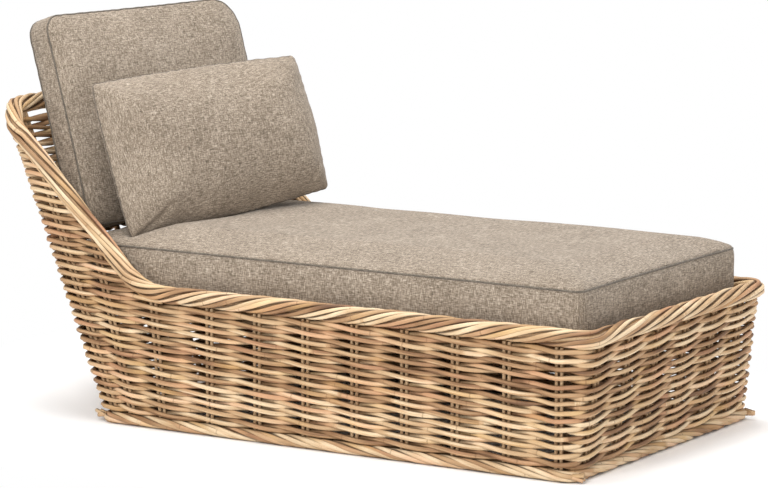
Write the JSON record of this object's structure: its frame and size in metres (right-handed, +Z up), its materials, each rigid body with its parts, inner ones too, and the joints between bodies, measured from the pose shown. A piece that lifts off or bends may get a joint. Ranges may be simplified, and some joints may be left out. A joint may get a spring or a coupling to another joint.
{
  "type": "sun lounger",
  "caption": "Low rattan lounger: round-weave body with a raked head, rope-like rim rising along both arms, boxed seat and back cushions and a loose pillow.",
  "frame": {"origin": "on the floor under the middle of the lounger", "axes": "+Z up, +Y towards the raked head end along the length, X across the width"},
  "size_m": [0.8526, 1.6043, 0.9439],
  "materials": {
    "woven_rattan": "round rattan, clear coated",
    "rattan_stake": "round rattan, clear coated",
    "rim_rattan": "round rattan, clear coated",
    "rattan_pole": "peeled rattan pole",
    "cane": "split cane binding",
    "slat_wood": "sawn slat",
    "screw_steel": "zinc plated",
    "cushion_fabric": "melange woven outdoor cloth",
    "piping_fabric": "bias-cut piping of the same cloth",
    "foam": "polyether foam and fibre filling",
    "zip_tape": "coil zip on tape"
  },
  "bodies": {
    "frame": {"woven_side_left": "woven_rattan", "woven_side_right": "woven_rattan", "woven_foot": "woven_rattan", "woven_head": "woven_rattan", "woven_corners_foot": "woven_rattan", "woven_corners_head": "woven_rattan", "stakes_left": "rattan_stake", "stakes_right": "rattan_stake", "stakes_foot": "rattan_stake", "stakes_head": "rattan_stake", "head_uprights": "rattan_pole", "rim_border_foot": "rim_rattan", "rim_border_left": "rim_rattan", "rim_border_right": "rim_rattan", "rim_border_head": "rim_rattan", "top_rail_foot": "rattan_pole", "top_rail_left": "rattan_pole", "top_rail_right": "rattan_pole", "top_rail_head": "rattan_pole", "base_border_foot": "rim_rattan", "base_border_left": "rim_rattan", "base_border_right": "rim_rattan", "base_border_head": "rim_rattan", "base_border_corners": "rim_rattan", "base_rail_left": "rattan_pole", "base_rail_right": "rattan_pole", "base_rail_foot": "rattan_pole", "base_rail_head": "rattan_pole", "seat_rail_left": "rattan_pole", "seat_rail_right": "rattan_pole", "seat_rail_foot": "rattan_pole", "seat_rail_head": "rattan_pole", "seat_centre_rail": "rattan_pole", "foot_posts": "rattan_pole", "middle_posts": "rattan_pole", "head_posts": "rattan_pole", "base_cross_bars": "rattan_pole", "seat_cross_bars": "rattan_pole", "cane_bindings": "cane", "frame_screws": "screw_steel", "seat_slats": "slat_wood", "slat_nails": "screw_steel"},
    "seat_cushion": {"seat_cushion_cover": "cushion_fabric", "seat_cushion_foam": "foam", "seat_cushion_zip": "zip_tape", "seat_cushion_piping": "piping_fabric"},
    "back_cushion": {"back_cushion_cover": "cushion_fabric", "back_cushion_filling": "foam", "back_cushion_zip": "zip_tape", "back_cushion_piping": "piping_fabric"},
    "pillow": {"pillow_cover": "cushion_fabric", "pillow_filling": "foam", "pillow_zip": "zip_tape"}
  },
  "joints": [
    {"name": "seat_cushion_lift", "type": "slide", "parent": "frame", "child": "seat_cushion", "axis": [0, 0, 1], "range_m": [0, 0.3]},
    {"name": "back_cushion_lift", "type": "slide", "parent": "seat_cushion", "child": "back_cushion", "axis": [0, 0, 1], "range_m": [0, 0.3]},
    {"name": "pillow_lift", "type": "slide", "parent": "back_cushion", "child": "pillow", "axis": [0, 0, 1], "range_m": [0, 0.3]}
  ]
}
